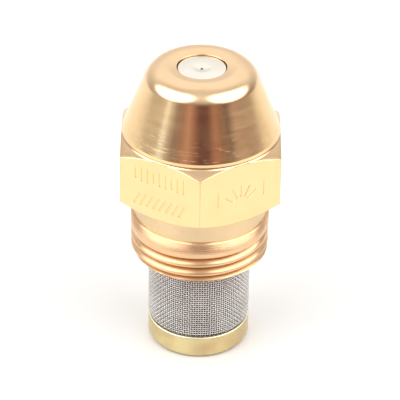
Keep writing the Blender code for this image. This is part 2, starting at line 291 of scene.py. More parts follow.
stops = [((value + 180.0) / 360.0, (*colour, 1.0)) for value, colour in bearings]
horizon = room.node("ShaderNodeValToRGB", {"stops": stops}, {0: (bearing + 180.0) / 360.0})
above = climb.ramp(9, 30)
low_room = room.node("ShaderNodeBackground", values={"Color": horizon, "Strength": 1.0 - above})
lit_room = (around * above).maths("MAXIMUM", left + right)
high_room = room.node(
    "ShaderNodeBackground", values={"Color": (1.0, 0.99, 0.975, 1.0), "Strength": lit_room}
)
whole_room = room.node("ShaderNodeAddShader", values={0: low_room, 1: high_room})
room.node("ShaderNodeOutputWorld", values={"Surface": whole_room})
bpy.context.scene.view_settings.view_transform = "Standard"
print("room drawn with", len(world.node_tree.nodes), "nodes")

# %% [markdown]
# ## The floor
#
# The nozzle stands on the flat bottom of its cap, on a plain pale floor that is big enough to fill
# every view.  The floor isn't part of the nozzle, so it is marked as stage.

# %% Lay the floor
def clear_selection():
    if bpy.context.mode != "OBJECT":
        bpy.ops.object.mode_set(mode="OBJECT")
    bpy.ops.object.select_all(action="DESELECT")


clear_selection()
bpy.ops.mesh.primitive_circle_add(vertices=64, radius=0.6, fill_type="NGON")
floor = bpy.context.object
floor.name = "floor"
paint = bpy.data.materials.new("pale_floor")
paint.use_nodes = True
pale = Finish(paint.node_tree)
spot = pale.node("ShaderNodeTexCoord", output="Object")
grain = pale.node("ShaderNodeTexNoise", values={"Vector": spot, "Scale": 90.0, "Detail": 3.0})
surface = pale.node(
    "ShaderNodeBsdfPrincipled",
    values={
        "Base Color": (0.82, 0.82, 0.82, 1.0),
        "Roughness": 0.25 + grain * 0.1,
    },
)
pale.node("ShaderNodeOutputMaterial", values={"Surface": surface})
floor.data.materials.append(paint)
floor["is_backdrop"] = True
print("floor", round(floor.dimensions.x, 2), "m across")

# %% [markdown]
# ## Turned pieces
#
# Nearly every piece came off a lathe, so one helper makes them all: a ring of vertices is extruded
# from corner to corner of an outline and resized at each step.  A spin would do the same, but this
# way the outline can be read off a drawing as (radius, height) pairs.  A second helper rounds the
# corners of an outline, because no real edge is perfectly sharp and a small round catches the light.

# %% Helpers for turned pieces
def soften(corners, steps=4):
    """An outline whose corners (radius, height, round) are rounded by the radius that they give."""
    points = []
    for i, corner in enumerate(corners):
        here = Vector(corner[:2])
        if len(corner) == 2:
            points.append(corner)
            continue
        to_last = (Vector(corners[i - 1][:2]) - here).normalized()
        to_next = (Vector(corners[(i + 1) % len(corners)][:2]) - here).normalized()
        half = to_last.angle(to_next) / 2
        centre = here + (to_last + to_next).normalized() * corner[2] / math.sin(half)
        start = here + to_last * corner[2] / math.tan(half) - centre
        end = here + to_next * corner[2] / math.tan(half) - centre
        sweep = start.angle(end)
        for k in range(steps + 1):
            part = k / steps
            spoke = start * math.sin((1 - part) * sweep) + end * math.sin(part * sweep)
            points.append(tuple(centre + spoke / math.sin(sweep)))
    return points


def climb_between(start, end, step):
    """Points from start to end of an outline, no further apart than step."""
    count = math.ceil((Vector(end) - Vector(start)).length / step)
    return [tuple(Vector(start).lerp(Vector(end), i / count)) for i in range(count + 1)]


def turn(name, outline, sides=96, solid=False):
    """Extrudes a ring along an outline.  A solid piece starts and ends in a filled disc."""
    clear_selection()
    radius, height = outline[0]
    fill = "TRIFAN" if solid else "NOTHING"
    bpy.ops.mesh.primitive_circle_add(vertices=sides, radius=radius, fill_type=fill)
    piece = bpy.context.object
    piece.name = name
    bpy.ops.object.mode_set(mode="EDIT")
    bpy.ops.mesh.select_mode(type="VERT")
    bpy.ops.mesh.select_all(action="SELECT")
    bpy.ops.transform.translate(value=(0, 0, height))
    for next_radius, next_height in outline[1:] + ([] if solid else outline[:1]):
        lift = {"value": (0, 0, next_height - height)}
        bpy.ops.mesh.extrude_region_move(TRANSFORM_OT_translate=lift)
        grow = next_radius / radius
        bpy.ops.transform.resize(value=(grow, grow, 1), center_override=(0, 0, next_height))
        radius, height = next_radius, next_height
    bpy.ops.mesh.select_all(action="SELECT")
    bpy.ops.mesh.remove_doubles(threshold=1e-4)
    bpy.ops.mesh.normals_make_consistent(inside=False)
    bpy.ops.object.mode_set(mode="OBJECT")
    return piece


def finish_piece(piece, body, slot_name, *nodes, angle=30):
    """Brings a piece from millimetres to metres, smooths it and gives it to its body."""
    clear_selection()
    piece.select_set(True)
    bpy.context.view_layer.objects.active = piece
    bpy.ops.transform.resize(value=(MM, MM, MM), center_override=(0, 0, 0))
    bpy.ops.object.transform_apply(location=True, rotation=True, scale=True)
    bpy.ops.object.shade_smooth_by_angle(angle=math.radians(angle))
    even = piece.modifiers.new("even", "WEIGHTED_NORMAL")
    even.keep_sharp = True
    bpy.ops.object.modifier_apply(modifier=even.name)
    piece.data.name = piece.name
    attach(piece, body)
    if nodes:
        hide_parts(*nodes)
    low = min(v.co.z for v in piece.data.vertices) / MM
    high = max(v.co.z for v in piece.data.vertices) / MM
    triangles = sum(len(face.vertices) - 2 for face in piece.data.polygons)
    print(f"{piece.name}: {low:.2f} to {high:.2f} mm, {triangles} triangles")


def carve(piece, cutter):
    """Takes the cutter's shape out of the piece, applies the cut and removes the cutter."""
    clear_selection()
    piece.select_set(True)
    bpy.context.view_layer.objects.active = piece
    cut = piece.modifiers.new("cut", "BOOLEAN")
    cut.object = cutter
    cut.solver = "EXACT"
    bpy.ops.object.modifier_apply(modifier=cut.name)
    bpy.data.objects.remove(cutter, do_unlink=True)


print("helpers ready")

# %% [markdown]
# ## Brass and steel
#
# All the metals share one recipe: a metallic shader, a colour that drifts a little over the piece,
# and a bump of very fine rings where the lathe tool passed.  The rings follow one number, made from
# height and radius, so that they run round cones and flat faces alike.  Where the rings are fine
# enough to blur reflections in one direction only, the shader's own anisotropy does that.

# %% The recipe for turned metal
def metal(
    name, colour, darker, roughness, ring_depth,
    ring_scale=9.0, anisotropic=0.0, dashes=0.0, root_painted_shade=None,
):
    """A turned metal.  Its rings are ring_depth millimetres deep, and a thread's roots get painted
    shade.
    """
    made = bpy.data.materials.new(name)
    made.use_nodes = True
    coat = Finish(made.node_tree)
    where = coat.node("ShaderNodeTexCoord", output="Object")
    scaled = coat.node("ShaderNodeVectorMath", {"operation": "SCALE"}, {0: where, "Scale": 1 / MM})
    x = coat.node("ShaderNodeSeparateXYZ", values={0: scaled}, output="X")
    y = coat.node("ShaderNodeSeparateXYZ", values={0: scaled}, output="Y")
    z = coat.node("ShaderNodeSeparateXYZ", values={0: scaled}, output="Z")
    out = (x * x + y * y) ** 0.5
    along = z - out * 0.8
    drift = coat.node("ShaderNodeTexNoise", values={"Vector": scaled, "Scale": 0.35, "Detail": 4.0})
    slow = {"noise_dimensions": "4D"}
    fine = {"Vector": scaled, "W": along * ring_scale, "Scale": 0.25, "Detail": 2.0}
    rings = coat.node("ShaderNodeTexNoise", slow, fine)
    broad = {"Vector": scaled, "W": along * ring_scale * 0.3, "Scale": 0.25, "Detail": 1.0}
    bands = coat.node("ShaderNodeTexNoise", slow, broad)
    shade = drift.ramp(0.35, 0.70) * 0.7 + bands.ramp(0.4, 0.7) * 0.3
    tint = coat.node(
        "ShaderNodeMix",
        {"data_type": "RGBA"},
        {"Factor": shade, 6: (*colour, 1.0), 7: (*darker, 1.0)},
        output=2,
    )
    # Painted shade: the colour darkens towards the thread's roots, where the groove is in shade.
    if root_painted_shade:
        tint = coat.node(
            "ShaderNodeMix",
            {"data_type": "RGBA"},
            {"Factor": out.ramp(6.90, 6.50), 6: tint, 7: (*root_painted_shade, 1.0)},
            output=2,
        )
    gloss = roughness + (rings - 0.5) * 0.08 + (drift - 0.5) * 0.10
    relief = rings + bands * 0.5
    if dashes:
        bearing_round = x.maths("ARCTAN2", y * -1.0)
        spread = coat.node("ShaderNodeCombineXYZ", values={"X": bearing_round * 2.5, "Y": along * 22.0})
        flat_noise = {"noise_dimensions": "2D"}
        marks = coat.node("ShaderNodeTexNoise", flat_noise, {"Vector": spread, "Scale": 1.0})
        nicks = marks.ramp(0.70, 0.76) * along.ramp(24.0, 19.5) * dashes
        relief = relief - nicks * 2.0
        gloss = gloss + nicks * 0.2
    bump = coat.node(
        "ShaderNodeBump",
        values={"Height": relief, "Distance": ring_depth * MM, "Strength": 1.0},
    )
    surface = coat.node(
        "ShaderNodeBsdfPrincipled",
        values={
            "Base Color": tint,
            "Metallic": 1.0,
            "Roughness": gloss,
            "Normal": bump,
            "Anisotropic": anisotropic,
            "Anisotropic Rotation": 0.25 if anisotropic else 0.0,
        },
    )
    coat.node("ShaderNodeOutputMaterial", values={"Surface": surface})
    return made


BRASS = (0.95, 0.66, 0.345)
BRASS_DEEP = (0.92, 0.63, 0.315)
satin_brass = metal(
    "satin_brass", (0.94, 0.68, 0.37), (0.91, 0.64, 0.33), 0.15, 0.0030, anisotropic=0.8, dashes=0.4
)
polished_brass = metal("polished_brass", (0.91, 0.65, 0.40), (0.89, 0.62, 0.37), 0.20, 0.0008)
milled_brass = metal("milled_brass", BRASS, BRASS_DEEP, 0.16, 0.0006, ring_scale=3.0)
# A darker brass for the thread: painted shade, for the darker floor that it reflects.
thread_painted_shade = metal(
    "thread_painted_shade", (0.86, 0.58, 0.34), (0.76, 0.48, 0.27), 0.30, 0.0060, anisotropic=0.75,
    root_painted_shade=(0.55, 0.32, 0.15),
)
# A darker brass for the chamfers, which are picked by the slope of their faces: painted shade.
chamfer_painted_shade = metal("chamfer_painted_shade", (0.83, 0.58, 0.34), (0.79, 0.54, 0.31), 0.20, 0.0010)
# A darker brass for the neck under the hexagon: painted shade, for the darker floor that it reflects.
neck_painted_shade = metal("neck_painted_shade", (0.74, 0.55, 0.33), (0.70, 0.52, 0.30), 0.26, 0.0020)
bored_brass = metal("bored_brass", (0.90, 0.64, 0.32), (0.80, 0.55, 0.26), 0.34, 0.0020)
stamped_brass = metal("stamped_brass", (0.93, 0.74, 0.38), (0.89, 0.70, 0.34), 0.42, 0.0004)
turned_brass = metal("turned_brass", (0.92, 0.68, 0.34), (0.86, 0.60, 0.28), 0.24, 0.0012)
# A near-black brass for the cage: painted shade, for the shade inside the wire cloth.
cage_painted_shade = metal("cage_painted_shade", (0.15, 0.11, 0.07), (0.11, 0.08, 0.05), 0.50, 0.0020)
yellow_brass = metal(
    "yellow_brass", (0.72, 0.61, 0.32), (0.58, 0.42, 0.22), 0.24, 0.0016, ring_scale=5.0
)
# A paler, brighter brass for the top of the cap's rim: a painted highlight.
rim_painted_highlight = metal("rim_painted_highlight", (0.98, 0.92, 0.70), (0.94, 0.87, 0.62), 0.36, 0.0008)
disc_steel = metal("disc_steel", (0.91, 0.87, 0.77), (0.86, 0.82, 0.72), 0.24, 0.0012, ring_scale=12.0)
cone_steel = metal("cone_steel", (0.70, 0.69, 0.67), (0.62, 0.61, 0.60), 0.22, 0.0010)
wire_steel = metal("wire_steel", (0.76, 0.74, 0.71), (0.64, 0.62, 0.60), 0.26, 0.0004)
print(len(bpy.data.materials), "materials")

# %% [markdown]
# ## The nozzle body
#
# The body starts as one turned shape: nose, cone, a lip, the round blank for the hexagon, a neck and
# the plain cylinder that the thread is cut in, and then back up through the bores.  The rings are
# close together where the thread will be, because the thread is cut by moving their vertices.

# %% Turn the body
HEX_BOTTOM = 18.12
HEX_TOP = 24.74
HEX_BAR = 9.6
NOSE_ROUND = 2.15
LIP_RADIUS = 7.90
CHAMFER_DROP = (HEX_BAR - HEX_FLAT) * math.tan(math.radians(30))
NECK_RADIUS = 6.85
THREAD_TOP = 15.5
THREAD_RADIUS = 7.09
THREAD_ROOT = 6.47
THREAD_PITCH = 25.4 / 24
THREAD_CHAMFER = 0.49
THREAD_STEP = 0.05
BAND_TOP = THREAD_TOP - 0.15
LINED_HEIGHT = 1.2
COUNTERBORE_RADIUS, COUNTERBORE_TOP = 5.45, 13.6
SCREW_BORE_RADIUS, SCREW_BORE_TOP = 4.5, 21.9
UPPER_BORE_RADIUS, SEAT_HEIGHT = 3.6, 30.2
NOSE_HOLE_RADIUS = 2.5
chamfer_start = (THREAD_RADIUS, THREAD_END + THREAD_CHAMFER)
chamfer_end = (THREAD_RADIUS - THREAD_CHAMFER, THREAD_END)
outside = soften([
    (COUNTERBORE_RADIUS, THREAD_END),
    (COUNTERBORE_RADIUS, COUNTERBORE_TOP),
    (SCREW_BORE_RADIUS, COUNTERBORE_TOP),
    (SCREW_BORE_RADIUS, SCREW_BORE_TOP),
    (UPPER_BORE_RADIUS, SCREW_BORE_TOP),
    (UPPER_BORE_RADIUS, SEAT_HEIGHT),
    (NOSE_HOLE_RADIUS, SEAT_HEIGHT),
    (NOSE_HOLE_RADIUS, NOSE_TOP - 0.13, 0.06),
    (3.4, NOSE_TOP, 0.8),
    (5.198, NOSE_TOP, NOSE_ROUND),
    (7.885, 25.26, 0.10),
    (LIP_RADIUS, HEX_TOP + 0.06, 0.45),
    (HEX_BAR, HEX_TOP - CHAMFER_DROP),
    (HEX_BAR, HEX_BOTTOM + CHAMFER_DROP),
    (HEX_FLAT, HEX_BOTTOM),
    (NECK_RADIUS, HEX_BOTTOM, 0.2),
    (NECK_RADIUS, THREAD_TOP, 0.03),
    (THREAD_RADIUS - 0.12, THREAD_TOP, 0.02),
    (THREAD_RADIUS, THREAD_TOP - 0.12, 0.02),
], steps=8)
lined_start = (THREAD_RADIUS, BAND_TOP)
lined_end = (THREAD_RADIUS, BAND_TOP - LINED_HEIGHT)
outside += climb_between(lined_start, lined_end, THREAD_STEP / 2)
outside += climb_between(lined_end, chamfer_start, THREAD_STEP)[1:]
outside += climb_between(chamfer_start, chamfer_end, THREAD_STEP)[1:]
body = turn("nozzle_body_turned", outside, sides=240)
print(len(outside), "rings of", 240)

# %% [markdown]
# The six flats are milled next.  Bisecting the mesh with a plane, and filling the cut, does exactly
# what the milling cutter does to the round blank, and leaves the curved edges where each flat meets
# the two chamfers.  Those edges are then broken with a very small bevel.

# %% Mill the six flats
clear_selection()
body.select_set(True)
bpy.context.view_layer.objects.active = body
bpy.ops.object.mode_set(mode="EDIT")
for i in range(6):
    bearing_angle = math.radians(60 * i - 60)
    normal = Vector((math.cos(bearing_angle), math.sin(bearing_angle), 0.0))
    bpy.ops.mesh.select_all(action="SELECT")
    bpy.ops.mesh.bisect(plane_co=normal * HEX_FLAT, plane_no=normal, use_fill=True, clear_outer=True)


def is_flat(face):
    """Whether a face is one of the hexagon's six flats."""
    centre = face.calc_center_median()
    return HEX_BOTTOM < centre.z < HEX_TOP and abs(face.normal.z) < 0.01 and face.calc_area() > 20


def select_edges(piece, rule):
    """Selects the edges that a rule picks and nothing else."""
    bpy.ops.mesh.select_all(action="DESELECT")
    bpy.ops.mesh.select_mode(type="EDGE")
    bm = bmesh.from_edit_mesh(piece.data)
    chosen = [edge for edge in bm.edges if rule(edge)]
    for edge in chosen:
        edge.select_set(True)
    bmesh.update_edit_mesh(piece.data)
    return len(chosen)


count = select_edges(body, lambda edge: any(is_flat(face) for face in edge.link_faces))
bpy.ops.mesh.bevel(offset=0.07, offset_type="OFFSET", segments=2, affect="EDGES")
bpy.ops.object.mode_set(mode="OBJECT")
print(count, "edges round the flats broken")

# %% [markdown]
# The outside thread is 24 turns to the inch.  A real die cuts a groove that climbs one pitch in each
# turn, so each vertex finds how far it is from the middle of the nearest turn of that groove, and is
# moved in to the groove's flank or root.  Near the top the groove runs out and gets shallower.

# %% Cut the outside thread
def cut_thread(piece, crest, root, pitch, front_height, low, high, fade_start, fade_end):
    """Moves vertices between low and high into a right-handed groove with rounded crests."""
    depth = crest - root
    moved = 0
    for vertex in piece.data.vertices:
        radius = vertex.co.xy.length
        if not (low - 1e-4 <= vertex.co.z <= high and radius > root):
            continue
        turn_part = (math.atan2(vertex.co.y, vertex.co.x) / math.tau + 0.25) % 1.0
        place = (vertex.co.z - front_height) / pitch - turn_part
        coil = round(place)
        from_crest = 1.0 - 2.0 * abs(place - coil)
        fade = min(max((coil + turn_part - fade_start) / (fade_end - fade_start), 0.0), 1.0)
        target = crest - depth * (1.0 - fade) * from_crest ** 2
        if target < radius:
            vertex.co.xy *= target / radius
            moved += 1
    return moved


GROOVE_FRONT_HEIGHT = 12.27
moved = cut_thread(
    body, THREAD_RADIUS, THREAD_ROOT, THREAD_PITCH, GROOVE_FRONT_HEIGHT,
    low=THREAD_END, high=BAND_TOP, fade_start=1.05, fade_end=1.35,
)
print(moved, "vertices moved into the groove")

# %% [markdown]
# The tool that turned the band above the thread left shallow lines close together.  Each line is a
# small notch whose longer side faces up.  The lines are deepest at the band's top edge.

# %% Leave the tool's lines in the band
LINE_PITCH = 0.2
LINE_DEPTH = 0.08
for vertex in body.data.vertices:
    below_top = BAND_TOP - vertex.co.z
    radius = vertex.co.xy.length
    if -1e-4 < below_top < LINED_HEIGHT and radius > THREAD_RADIUS - 0.02:
        place = (-(below_top + 1e-4) / LINE_PITCH) % 1.0
        notch = min(place * 1.5, (1 - place) * 3)
        fade = 1 - (below_top / LINED_HEIGHT) ** 4
        vertex.co.xy *= 1 - LINE_DEPTH * notch * fade / radius
print("lines", LINE_PITCH, "mm apart")

# %% [markdown]
# The two flats that face the front carry stamped marks.  The marks here are plain signs of this
# lesson's own: a row of tally strokes and a row of slanted ones on the left flat, and a fan of spray
# lines on the right flat.  One punch is modelled once, with sloping sides, and each stroke is a copy of
# it laid on the flat and cut into the brass.

# %% Make one punch and stamp the marks
MARK_DEPTH = 0.06
MARK_WIDTH = 0.30


def make_punch():
    """A stroke one millimetre long whose sides slope, pointing into the metal along -Z."""
    clear_selection()
    bpy.ops.mesh.primitive_cube_add(size=1.0)
    punch = bpy.context.object
    bpy.ops.transform.resize(value=(MARK_WIDTH, 1.0, MARK_DEPTH * 4))
    bpy.ops.object.transform_apply(location=False, rotation=False, scale=True)
    bpy.ops.object.mode_set(mode="EDIT")
    bpy.ops.mesh.select_all(action="DESELECT")
    bpy.ops.mesh.select_mode(type="FACE")
    bm = bmesh.from_edit_mesh(punch.data)
    for face in bm.faces:
        face.select_set(face.normal.z < -0.9)
    bmesh.update_edit_mesh(punch.data)
    bpy.ops.transform.translate(value=(0, 0, MARK_DEPTH))
    bpy.ops.transform.resize(value=(0.4, 0.86, 1), center_override=(0, 0, -MARK_DEPTH))
    bpy.ops.object.mode_set(mode="OBJECT")
    return punch


def stamp(strokes, normal, middle_height):
    """Copies of the punch as one cutter, laid on the flat that faces along normal."""
    to_right = Vector((0, 0, 1)).cross(normal)
    grid = Matrix((to_right, Vector((0, 0, 1)), normal)).transposed().to_4x4()
    grid.translation = normal * HEX_FLAT + Vector((0, 0, middle_height))
    punch = make_punch()
    copies = []
    for across, rise, length, tilt in strokes:
        copy = punch.copy()
        copy.data = punch.data.copy()
        bpy.context.scene.collection.objects.link(copy)
        turned_stroke = Matrix.Rotation(math.radians(tilt), 4, "Z") @ Matrix.Diagonal((1, length, 1, 1))
        copy.data.transform(grid @ Matrix.Translation((across, rise, 0)) @ turned_stroke)
        copies.append(copy)
    bpy.data.objects.remove(punch, do_unlink=True)
    clear_selection()
    for copy in copies:
        copy.select_set(True)
    bpy.context.view_layer.objects.active = copies[0]
    bpy.ops.object.join()
    return copies[0]


tally = [(-2.75 + 0.69 * i, 1.45, 1.75 if i % 3 else 1.3, 0) for i in range(9)]
slants = [(-2.6 + 0.74 * i, -1.45, 1.7, -28) for i in range(8)]
fan = [(-2.6, 0.0, 1.8, 0), (2.6, 0.0, 1.8, 0)]
for lean in (-52, -26, 0, 26, 52):
    slope = math.radians(lean)
    fan.append((1.6 * math.sin(slope), -1.4 + 1.75 * math.cos(slope), 1.4, -lean))
faces_left = Vector((-0.5, -math.sqrt(0.75), 0.0))
faces_right = Vector((0.5, -math.sqrt(0.75), 0.0))
body.data.materials.append(satin_brass)
for cutter_strokes, facing in ((tally + slants, faces_left), (fan, faces_right)):
    cutter = stamp(cutter_strokes, facing, (HEX_BOTTOM + HEX_TOP) / 2)
    cutter.data.materials.append(stamped_brass)
    carve(body, cutter)
print(len(tally + slants + fan), "strokes stamped")

# %% [markdown]
# Different cuts leave different surfaces.  The cone is satin from a fine feed, its nose and the flats
# are brighter, the neck and the chamfers are between them in roughness, and the bores are duller.  The
# neck, the thread and the chamfers also get darker copies of the brass, which is painted shade.  Each
# face gets its finish from its place and its normal, which is quicker than picking faces by hand and
# never misses one.

# %% Give each zone of the body its finish
finishes = [
    satin_brass, polished_brass, milled_brass, chamfer_painted_shade,
    neck_painted_shade, thread_painted_shade, bored_brass, stamped_brass,
]
stamped_before = [slot.material.name if slot.material else "" for slot in body.material_slots]
was_stamped = [stamped_before[face.material_index] == "stamped_brass" for face in body.data.polygons]
body.data.materials.clear()
for finish in finishes:
    body.data.materials.append(finish)


def finish_of(face):
    """Which finish a face of the body has, by its place."""
    x, y, height = face.center
    radius = face.center.xy.length
    faces_in = face.normal.x * x + face.normal.y * y < -0.05
    if height < 30.3 and (radius < 5.5 or faces_in):
        return bored_brass
    if height > 30.55:
        return polished_brass
    if height > 25.4:
        return satin_brass
    if height > HEX_BOTTOM - 0.02:
        if abs(face.normal.z) > 0.3:
            return chamfer_painted_shade
        return bored_brass if radius > 9.1 else milled_brass
    return neck_painted_shade if height > THREAD_TOP + 0.03 else thread_painted_shade


for face, stamped in zip(body.data.polygons, was_stamped):
    face.material_index = finishes.index(stamped_brass if stamped else finish_of(face))
finish_piece(body, "nozzle", "polished_brass", "nozzle_body")

# %% [markdown]
# ## The orifice disc
#
# A steel disc is pressed up into the nose.  Its face shows through the hole of the nose, slightly
# sunk, with a shallow dimple round the spray hole, which is only 0.3 mm wide.

# %% Turn the orifice disc
ORIFICE = 0.15
BOSS_RADIUS, FLANGE_TOP = 2.42, 29.9
CONE_RADIUS = 2.9
disc_outline = soften([
    (ORIFICE, DISC_FACE - 0.15),
    (0.5, DISC_FACE - 0.11),
    (0.9, DISC_FACE, 0.08),
    (BOSS_RADIUS, DISC_FACE, 0.08),
    (BOSS_RADIUS, FLANGE_TOP),
    (DISC_RADIUS, FLANGE_TOP, 0.05),
    (DISC_RADIUS, DISC_BOTTOM),
    (CONE_RADIUS, DISC_BOTTOM),
    (ORIFICE, DISC_BOTTOM + CONE_RADIUS - ORIFICE),
])
disc = turn("orifice_disc_turned", disc_outline, sides=96)
disc.data.materials.append(disc_steel)
finish_piece(disc, "nozzle", "ground_steel", "orifice_disc")

# %% [markdown]
# ## The swirl cone
#
# The cone sits behind the disc, and four slots cut across its slope off centre, so that the oil
# enters the space behind the spray hole spinning.

# %% Turn the swirl cone and cut its slots
RIM = DISC_BOTTOM - 0.3
SWIRL_TIP_RADIUS = 0.45
SWIRL_SLOTS = 4
SLOT_WIDTH = 0.5
SLOT_DEPTH = 0.35
SLOT_OFFSET = 0.8
swirl = turn("swirl_cone_turned", soften([
    (SWIRL_RADIUS - 0.2, SWIRL_BOTTOM),
    (SWIRL_RADIUS, SWIRL_BOTTOM + 0.2),
    (SWIRL_RADIUS, RIM, 0.05),
    (CONE_RADIUS, RIM, 0.04),
    (SWIRL_TIP_RADIUS, RIM + CONE_RADIUS - SWIRL_TIP_RADIUS),
]), sides=72, solid=True)
for i in range(SWIRL_SLOTS):
    clear_selection()
    bpy.ops.mesh.primitive_cube_add(size=1.0)
    slot_cutter = bpy.context.object
    sink = SLOT_DEPTH * math.sqrt(0.5)
    lift = math.sqrt(0.5) / 2 - sink
    half_slope = CONE_RADIUS / 2
    place = Matrix.Rotation(math.tau * i / SWIRL_SLOTS, 4, "Z")
    place @= Matrix.Translation((SLOT_OFFSET, half_slope + lift, RIM + half_slope + lift))
    place @= Matrix.Rotation(math.radians(-45), 4, "X") @ Matrix.Diagonal((SLOT_WIDTH, 8.7, 1.0, 1.0))
    slot_cutter.data.transform(place)
    carve(swirl, slot_cutter)
swirl.data.materials.clear()
swirl.data.materials.append(cone_steel)
finish_piece(swirl, "swirl", "ground_steel", "swirl_cone")

# %% [markdown]
# ## The retaining screw
#
# A hollow screw holds the cone up against the disc.  Oil comes up its bore and out through cross
# holes, and its tail is the spigot that the strainer is pushed onto.

# %% Turn the retaining screw, cut its thread, its holes and its slot
OIL_BORE_RADIUS, OIL_BORE_TOP = 1.4, 23.4
SPIGOT_RADIUS = 2.9
SPIGOT_EDGE = 0.35
SCREW_ROOT = 3.95
SCREW_PITCH = 0.75
SCREW_THREAD_BOTTOM, SCREW_THREAD_TOP = 15.0, 21.4
SCREW_NOSE_RADIUS = 3.1
CROSS_HOLE_RADIUS, CROSS_HOLE_HEIGHT = 0.65, 22.6
CUTTER_LENGTH = 12.4
screw_outline = [
    (OIL_BORE_RADIUS, OIL_BORE_TOP),
    (OIL_BORE_RADIUS, SCREW_END),
    (SPIGOT_RADIUS - SPIGOT_EDGE, SCREW_END),
    (SPIGOT_RADIUS, SCREW_END + SPIGOT_EDGE),
    (SPIGOT_RADIUS, SCREW_THREAD_BOTTOM),
    (SCREW_RADIUS - 0.2, SCREW_THREAD_BOTTOM),
]
screw_outline += climb_between((SCREW_RADIUS, 15.2), (SCREW_RADIUS, 21.05), THREAD_STEP)
screw_outline += [
    (SCREW_ROOT, SCREW_THREAD_TOP),
    (SCREW_NOSE_RADIUS, SCREW_THREAD_TOP),
    (SCREW_NOSE_RADIUS, SCREW_TOP - 0.35),
    (SCREW_NOSE_RADIUS - 0.35, SCREW_TOP),
]
screw = turn("retaining_screw_turned", screw_outline, sides=72, solid=True)
cut_thread(
    screw, SCREW_RADIUS, SCREW_ROOT, SCREW_PITCH, 15.7,
    low=15.4, high=21.2, fade_start=20.0, fade_end=21.0,
)
for i in range(2):
    clear_selection()
    bpy.ops.mesh.primitive_cylinder_add(vertices=24, radius=CROSS_HOLE_RADIUS, depth=CUTTER_LENGTH)
    hole_cutter = bpy.context.object
    hole_place = Matrix.Translation((0, 0, CROSS_HOLE_HEIGHT))
    hole_place @= Matrix.Rotation(math.radians(90 * i), 4, "Z")
    hole_cutter.data.transform(hole_place @ Matrix.Rotation(math.radians(90), 4, "Y"))
    carve(screw, hole_cutter)
clear_selection()
bpy.ops.mesh.primitive_cube_add(size=1.0)
driver_cutter = bpy.context.object
driver_place = Matrix.Translation((0, 0, SCREW_END)) @ Matrix.Diagonal((CUTTER_LENGTH, 1.0, 2.4, 1.0))
driver_cutter.data.transform(driver_place)
carve(screw, driver_cutter)
screw.data.materials.clear()
screw.data.materials.append(turned_brass)
finish_piece(screw, "screw", "turned_brass", "retaining_screw")

# %% [markdown]
# ## The strainer's ferrule and cage
#
# The strainer has a brass ferrule that pushes onto the spigot, and a slotted tube that keeps the wire
# cloth round.  The tube is modelled as one thin wall, its windows are deleted as whole faces, and
# Solidify gives the wall its thickness afterwards.

# %% Turn the ferrule
FERRULE_BORE = 3.0
FERRULE_SHOULDER = 11.5
ferrule = turn("strainer_ferrule_turned", soften([
    (FERRULE_BORE, FERRULE_BOTTOM),
    (FERRULE_BORE, FERRULE_TOP, 0.2),
    (FERRULE_RADIUS, FERRULE_TOP, 0.2),
    (FERRULE_RADIUS, FERRULE_SHOULDER, 0.05),
    (CAGE_RADIUS, FERRULE_SHOULDER),
    (CAGE_RADIUS, FERRULE_BOTTOM, 0.1),
]), sides=96)
ferrule.data.materials.append(turned_brass)
finish_piece(ferrule, "strainer", "turned_brass", "strainer_ferrule")

# %% Make the cage from one wall with windows
CAGE_STEP = 3.3
CAGE_FOOT_RADIUS = 4.56
CAGE_WALL = 0.5
LOWER_WINDOWS = (3.9, 6.0)
UPPER_WINDOWS = (6.7, 8.8)
clear_selection()
bpy.ops.mesh.primitive_circle_add(vertices=96, radius=CAGE_RADIUS, fill_type="NOTHING")
cage = bpy.context.object
cage.name = "strainer_cage_slotted"
bpy.ops.object.mode_set(mode="EDIT")
bpy.ops.mesh.select_mode(type="VERT")
bpy.ops.mesh.select_all(action="SELECT")
bpy.ops.transform.translate(value=(0, 0, CAGE_TOP))
levels = [CAGE_TOP, *reversed(UPPER_WINDOWS), *reversed(LOWER_WINDOWS), CAGE_STEP]
for upper, lower in zip(levels, levels[1:]):
    bpy.ops.mesh.extrude_region_move(TRANSFORM_OT_translate={"value": (0, 0, lower - upper)})
step_in = CAGE_FOOT_RADIUS / CAGE_RADIUS
bpy.ops.mesh.extrude_region_move(TRANSFORM_OT_translate={"value": (0, 0, 0)})
bpy.ops.transform.resize(value=(step_in, step_in, 1), center_override=(0, 0, CAGE_STEP))
bpy.ops.mesh.extrude_region_move(TRANSFORM_OT_translate={"value": (0, 0, CAGE_BOTTOM - CAGE_STEP)})
bpy.ops.mesh.select_all(action="SELECT")
bpy.ops.mesh.normals_make_consistent(inside=False)
bpy.ops.mesh.select_all(action="DESELECT")
bpy.ops.mesh.select_mode(type="FACE")
cage_mesh = bmesh.from_edit_mesh(cage.data)
window_count = 0
for face in cage_mesh.faces:
    centre = face.calc_center_median()
    in_rows = [low < centre.z < high for low, high in (LOWER_WINDOWS, UPPER_WINDOWS)]
    if not any(in_rows):
        continue
    row = in_rows.index(True)
    turn_angle = math.degrees(math.atan2(centre.y, centre.x)) - 22.5 * row
    if abs((turn_angle + 22.5) % 45.0 - 22.5) < 11.0:
        face.select_set(True)
        window_count += 1
bmesh.update_edit_mesh(cage.data)
bpy.ops.mesh.delete(type="FACE")
bpy.ops.object.mode_set(mode="OBJECT")
cage_wall = cage.modifiers.new("wall", "SOLIDIFY")
cage_wall.thickness = CAGE_WALL
cage_wall.offset = -1.0
bpy.ops.object.modifier_apply(modifier=cage_wall.name)
# Painted shade: the cage gets the near-black brass, for the shade seen through the cloth.
cage.data.materials.append(cage_painted_shade)
finish_piece(cage, "strainer", "turned_brass", "strainer_cage")
print(window_count // 6, "windows")

